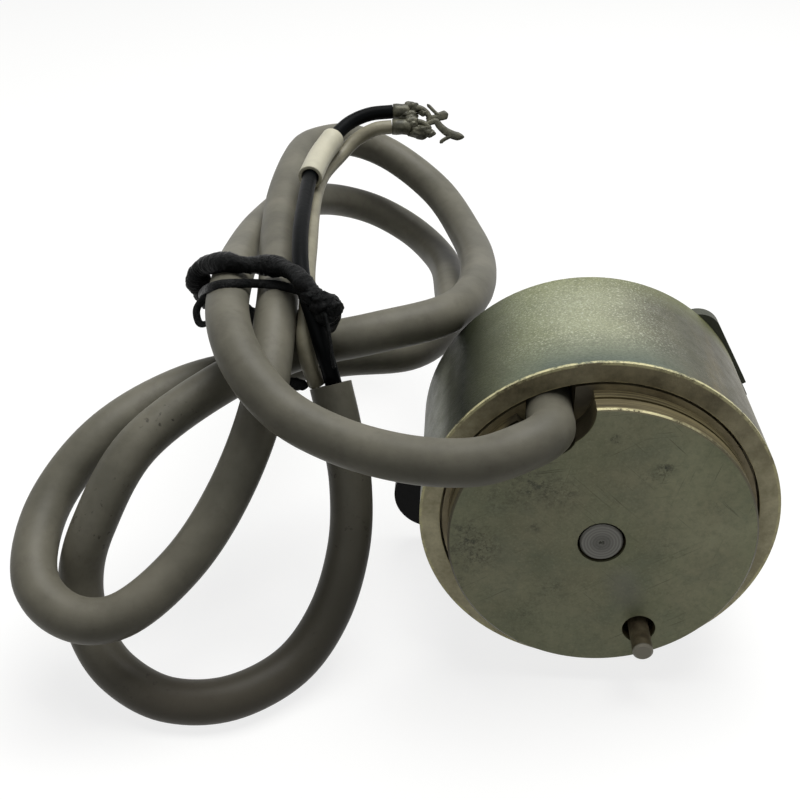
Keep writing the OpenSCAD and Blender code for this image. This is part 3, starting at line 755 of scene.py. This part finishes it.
def build_sleeve(props):
    """Thin-walled cream sleeve over the black core."""
    pts = smooth_points(SLEEVE_ROUTE, 8)
    outer, inner = props.sleeve_diameter / 2, props.core_diameter / 2 + SLEEVE_GAP
    rows, count = len(pts), SLEEVE_SIDES
    verts, faces = [], []
    for r in (outer, inner):
        for at, (_, u, w) in zip(pts, frames_along(pts, False, (1, 0, 0))):
            verts += [at + a * u + b * w for a, b in oval(r, r, count)]

    def corners(i, k):
        """The outer and the inner corner number k of row i."""
        here = i * count + k % count
        return here, rows * count + here

    for i in range(rows - 1):
        for k in range(count):
            (a, a_in), (b, b_in) = corners(i, k), corners(i, k + 1)
            (c, c_in), (d, d_in) = corners(i + 1, k + 1), corners(i + 1, k)
            faces += [(a, b, c, d), (b_in, a_in, d_in, c_in)]
    for i in (0, rows - 1):
        for k in range(count):
            (a, a_in), (b, b_in) = corners(i, k), corners(i, k + 1)
            faces.append((a, a_in, b_in, b))
    sleeve = mesh_object("Marker_sleeve", verts, faces)
    bevel(sleeve, 0.0002, 2, 50)
    paint(sleeve, plain_material("Sleeve_cream", lin(204, 200, 178), 0.0, 0.45, grain=200.0,
                                 strength=0.1, depth=0.06))
    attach(sleeve, "housing")
    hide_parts("marker_sleeve")
    return sleeve


def strip(name, pts, width, thick, taper):
    """A thin formed strip along pts; taper(t) gives its share of the width at t, 0 to 1."""
    last = len(pts) - 1
    return sweep(name, pts, oval(width / 2, thick / 2, 12), start=LUG_UP,
                 shape=lambda i, k, a, b: (a * taper(i / last), b))


def round_ends(t):
    return min(1.0, 0.35 + 6.0 * min(t, 1 - t))


def pointed(t):
    return min(0.55 + 0.6 * t, 1.0, math.sqrt(max(0.02, 9.0 * (1 - t))))


def build_lugs():
    """Two crimped contacts: a folded barrel, crumpled wings, a sprung tine and a prong each."""
    mat = tinned_material()
    sets = []
    for name, node, end, length, wings, strips in LUGS:
        def put(u, v, w=0.0):
            return Vector(end) + u * LUG_ALONG + v * LUG_UP + w * LUG_OUT

        barrel = sweep(f"{name}_barrel", [put(length * t, 0) for t in BARREL_STEPS],
                       oval(BARREL_RADIUS, BARREL_RADIUS, 24), start=LUG_UP,
                       shape=lambda i, k, a, b: (a * BARREL_WIDTHS[i], b * BARREL_DEPTHS[i]))
        made = [barrel]
        for n, (place, radius, stretch) in enumerate(wings):
            made.append(lump(f"{name}_wing_{n + 1}", put(*place), radius, stretch, 2.0 + 3.0 * n))
        for label, width, thick, route in strips:
            line = smooth_points([put(u, v, 0.0003) for u, v in route], 6)
            taper = pointed if label == "tine" else round_ends
            made.append(strip(f"{name}_{label}", line, width, thick, taper))
        for obj in made:
            paint(obj, mat)
            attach(obj, "housing")
        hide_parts(node)
        sets.append(made)
    return sets


def lump(name, at, radius, stretch, seed):
    """A crumpled lump of film or foil."""
    bm = bmesh.new()
    bmesh.ops.create_icosphere(bm, subdivisions=4, radius=1.0)
    for v in bm.verts:
        swell = 0.30 * noise.noise(v.co * 1.5 + Vector((seed, 0, 0)))
        swell += 0.16 * noise.noise(v.co * 4.0 + Vector((0, seed, 0)))
        v.co = Vector([c * radius * k * (1.0 + swell) for c, k in zip(v.co, stretch)]) + Vector(at)
    mesh = bpy.data.meshes.new(name)
    bm.to_mesh(mesh)
    bm.free()
    for p in mesh.polygons:
        p.use_smooth = True
    obj = bpy.data.objects.new(name, mesh)
    bpy.context.scene.collection.objects.link(obj)
    return obj


def build_tie():
    """Twisted black film wound round the bundle, a flat strand, a loop, a knot and a cut tail."""
    mat = tie_material()
    line = smooth_points(TIE_ROUTE + TIE_ROUTE[:1], TIE_STEPS)[:-1]

    def crease(i, k, a, b):
        """A twisted, pinched roll: creases run round it and it swells in places."""
        t = i / len(line)
        turn = 2 * math.pi * k / TIE_SIDES
        c, s = math.cos(turn), math.sin(turn)
        f = 1.0 + 0.16 * noise.noise(Vector((i * 0.11, 0.6 * c, 0.6 * s)))
        f += 0.10 * noise.noise(Vector((i * 0.42, 1.1 * c, 4.0 + 1.1 * s)))
        f *= 1.0 + 0.12 * math.sin(2 * math.pi * 7 * t + 0.8)
        f *= 1.0 - 0.28 * max(0.0, 1.0 - abs(t - 0.77) / 0.12)
        return a * f, b * f

    band = sweep("Tie_band", line, oval(*BAND_AXES, TIE_SIDES), closed=True, start=TIE_UP,
                 shape=crease)
    strand = sweep("Tie_strand", smooth_points(STRAND_ROUTE, 8), oval(*STRAND_AXES, 12),
                   start=TIE_UP)
    loop = sweep("Tie_loop", smooth_points(LOOP_ROUTE + LOOP_ROUTE[:1], 6)[:-1],
                 oval(*LOOP_AXES, 10), closed=True, start=(0, 1, 0))
    tail = sweep("Tie_tail", smooth_points(TAIL_ROUTE, 8), oval(*TAIL_AXES, 12),
                 start=(1, 0, 0))
    knots = [lump(f"Tie_knot_{n + 1}", *knot) for n, knot in enumerate(KNOTS)]
    for obj in (band, strand, loop, tail, *knots):
        paint(obj, mat)
        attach(obj, "housing")
    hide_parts("cable_tie")


# ---------------------------------------------------------------- stage
def area_light(name, place, power):
    data = bpy.data.lights.new(name, "AREA")
    data.shape = "SQUARE"
    data.size = LIGHT_SIZE
    data.energy = power
    obj = bpy.data.objects.new(name, data)
    bpy.context.scene.collection.objects.link(obj)
    obj.location = place
    obj.rotation_euler = (Vector(LIGHT_AIM) - Vector(place)).to_track_quat("-Z", "Y").to_euler()
    return obj


def build_camera():
    data = bpy.data.cameras.new("Camera")
    data.lens = FOCAL_LENGTH
    data.sensor_width = SENSOR_WIDTH
    data.clip_start = 0.01
    cam = bpy.data.objects.new("Camera", data)
    bpy.context.scene.collection.objects.link(cam)
    cam.location = CAMERA_PLACE
    cam.rotation_euler = Vector(CAMERA_LOOK).to_track_quat("-Z", "Y").to_euler()
    bpy.context.scene.camera = cam


def node_with(tree, kind, **values):
    """A node of that kind with its inputs set by name."""
    n = tree.nodes.new(kind)
    for key, value in values.items():
        n.inputs[key].default_value = value
    return n


def greater(tree, a, b):
    n = tree.nodes.new("ShaderNodeMath")
    n.operation = "MAXIMUM"
    tree.links.new(a, n.inputs[0])
    tree.links.new(b, n.inputs[1])
    return n.outputs[0]


def split_rays(tree, lit, seen, surface):
    """Camera, glossy and transmission rays meet seen, and all others meet lit."""
    path = tree.nodes.new("ShaderNodeLightPath").outputs
    white = greater(tree, path["Is Camera Ray"], path["Is Glossy Ray"])
    white = greater(tree, white, path["Is Transmission Ray"])
    mix = tree.nodes.new("ShaderNodeMixShader")
    tree.links.new(white, mix.inputs[0])
    tree.links.new(lit, mix.inputs[1])
    tree.links.new(seen, mix.inputs[2])
    tree.links.new(mix.outputs[0], surface)


def build_world(fill):
    world = bpy.data.worlds.new("Studio")
    bpy.context.scene.world = world
    world.use_nodes = True
    tree = world.node_tree
    tree.nodes.clear()
    out = tree.nodes.new("ShaderNodeOutputWorld")
    seen = node_with(tree, "ShaderNodeBackground", Color=WHITE, Strength=1.0)
    lit = node_with(tree, "ShaderNodeBackground", Color=WHITE, Strength=fill)
    split_rays(tree, lit.outputs[0], seen.outputs[0], out.inputs["Surface"])


def floor_material():
    """Grey cloth that keeps the shadow, with a glow that only the eye and mirrors meet."""
    mat = bpy.data.materials.new("Floor_pale")
    mat.use_nodes = True
    tree = mat.node_tree
    tree.nodes.clear()
    out = tree.nodes.new("ShaderNodeOutputMaterial")
    cloth = node_with(tree, "ShaderNodeBsdfDiffuse", Color=(0.26, 0.26, 0.25, 1))
    glow = node_with(tree, "ShaderNodeEmission", Color=WHITE, Strength=FLOOR_GLOW)
    add = tree.nodes.new("ShaderNodeAddShader")
    tree.links.new(cloth.outputs[0], add.inputs[0])
    tree.links.new(glow.outputs[0], add.inputs[1])
    split_rays(tree, cloth.outputs[0], add.outputs[0], out.inputs["Surface"])
    return mat


def build_stage(props):
    bpy.context.scene.view_settings.view_transform = "Standard"
    build_camera()
    build_world(props.fill_light)
    key = area_light("Key_light", KEY_PLACE, props.key_light)
    front = area_light("Front_light", FRONT_PLACE, props.front_light)
    bpy.ops.mesh.primitive_plane_add(size=FLOOR_SIZE, location=FLOOR_PLACE)
    floor = bpy.context.object
    floor.name = "Floor"
    paint(floor, floor_material())


# ---------------------------------------------------------------- add-on
class SolenoidProps(bpy.types.PropertyGroup):
    """Sizes and light levels of the solenoid scene."""

    cable_diameter: bpy.props.FloatProperty(
        name="Cable Diameter", description="Outer diameter of the two-core cable",
        default=0.0088, min=0.008, max=0.009, unit="LENGTH")
    core_diameter: bpy.props.FloatProperty(
        name="Core Diameter", description="Outer diameter of each insulated core",
        default=0.0035, min=0.003, max=0.0036, unit="LENGTH")
    sleeve_diameter: bpy.props.FloatProperty(
        name="Sleeve Diameter", description="Outer diameter of the marker sleeve",
        default=0.0058, min=0.005, max=0.006, unit="LENGTH")
    key_light: bpy.props.FloatProperty(
        name="Key Light", description="Power of the overhead light in watts",
        default=10.0, min=0.0, max=100.0, unit="POWER")
    front_light: bpy.props.FloatProperty(
        name="Front Light", description="Power of the front light in watts",
        default=0.8, min=0.0, max=100.0, unit="POWER")
    fill_light: bpy.props.FloatProperty(
        name="Fill Light", description="Strength of the light from all round",
        default=0.045, min=0.0, max=1.0, subtype="FACTOR")


class SOLENOID_OT_stage(bpy.types.Operator):
    """Adds the camera, the lights, the world and the floor"""

    bl_idname = "solenoid.stage"
    bl_label = "Add Stage"

    def execute(self, context):
        build_stage(context.scene.solenoid)
        return {"FINISHED"}


class SOLENOID_OT_cable(bpy.types.Operator):
    """Adds the cable, its two cores and the marker sleeve"""

    bl_idname = "solenoid.cable"
    bl_label = "Add Cable"

    def execute(self, context):
        props = context.scene.solenoid
        black, white, sleeve = build_cable(props)
        lugs = build_lugs()
        length_of(BLACK_ROUTE)
        length_of(WHITE_ROUTE)
        return {"FINISHED"}


class SOLENOID_OT_tie(bpy.types.Operator):
    """Adds the crumpled tie round the bundle"""

    bl_idname = "solenoid.tie"
    bl_label = "Add Tie"

    def execute(self, context):
        build_tie()
        return {"FINISHED"}


class SOLENOID_OT_housing(bpy.types.Operator):
    """Finishes the housing, the flange and the front cap"""

    bl_idname = "solenoid.housing"
    bl_label = "Finish Housing"

    def execute(self, context):
        build_housing()
        build_coil()
        return {"FINISHED"}


class SOLENOID_OT_moving(bpy.types.Operator):
    """Finishes the shaft, the guide pin and the other moving parts"""

    bl_idname = "solenoid.moving"
    bl_label = "Finish Moving Parts"

    def execute(self, context):
        build_moving()
        return {"FINISHED"}


class SOLENOID_PT_panel(bpy.types.Panel):
    bl_idname = "SOLENOID_PT_panel"
    bl_label = "Solenoid"
    bl_space_type = "VIEW_3D"
    bl_region_type = "UI"
    bl_category = "Solenoid"

    def draw(self, context):
        props = context.scene.solenoid
        for name in ("cable_diameter", "core_diameter", "sleeve_diameter", "key_light",
                     "front_light", "fill_light"):
            self.layout.prop(props, name)
        for name in ("stage", "cable", "tie", "housing", "moving"):
            self.layout.operator("solenoid." + name)


CLASSES = (SolenoidProps, SOLENOID_OT_stage, SOLENOID_OT_cable, SOLENOID_OT_tie,
           SOLENOID_OT_housing, SOLENOID_OT_moving, SOLENOID_PT_panel)


def register():
    for c in CLASSES:
        bpy.utils.register_class(c)
    bpy.types.Scene.solenoid = bpy.props.PointerProperty(type=SolenoidProps)


def unregister():
    del bpy.types.Scene.solenoid
    for c in reversed(CLASSES):
        bpy.utils.unregister_class(c)


def main():
    register()
    bpy.ops.solenoid.stage()
    bpy.ops.solenoid.cable()
    bpy.ops.solenoid.tie()
    bpy.ops.solenoid.housing()
    bpy.ops.solenoid.moving()


if __name__ == "__main__":
    main()
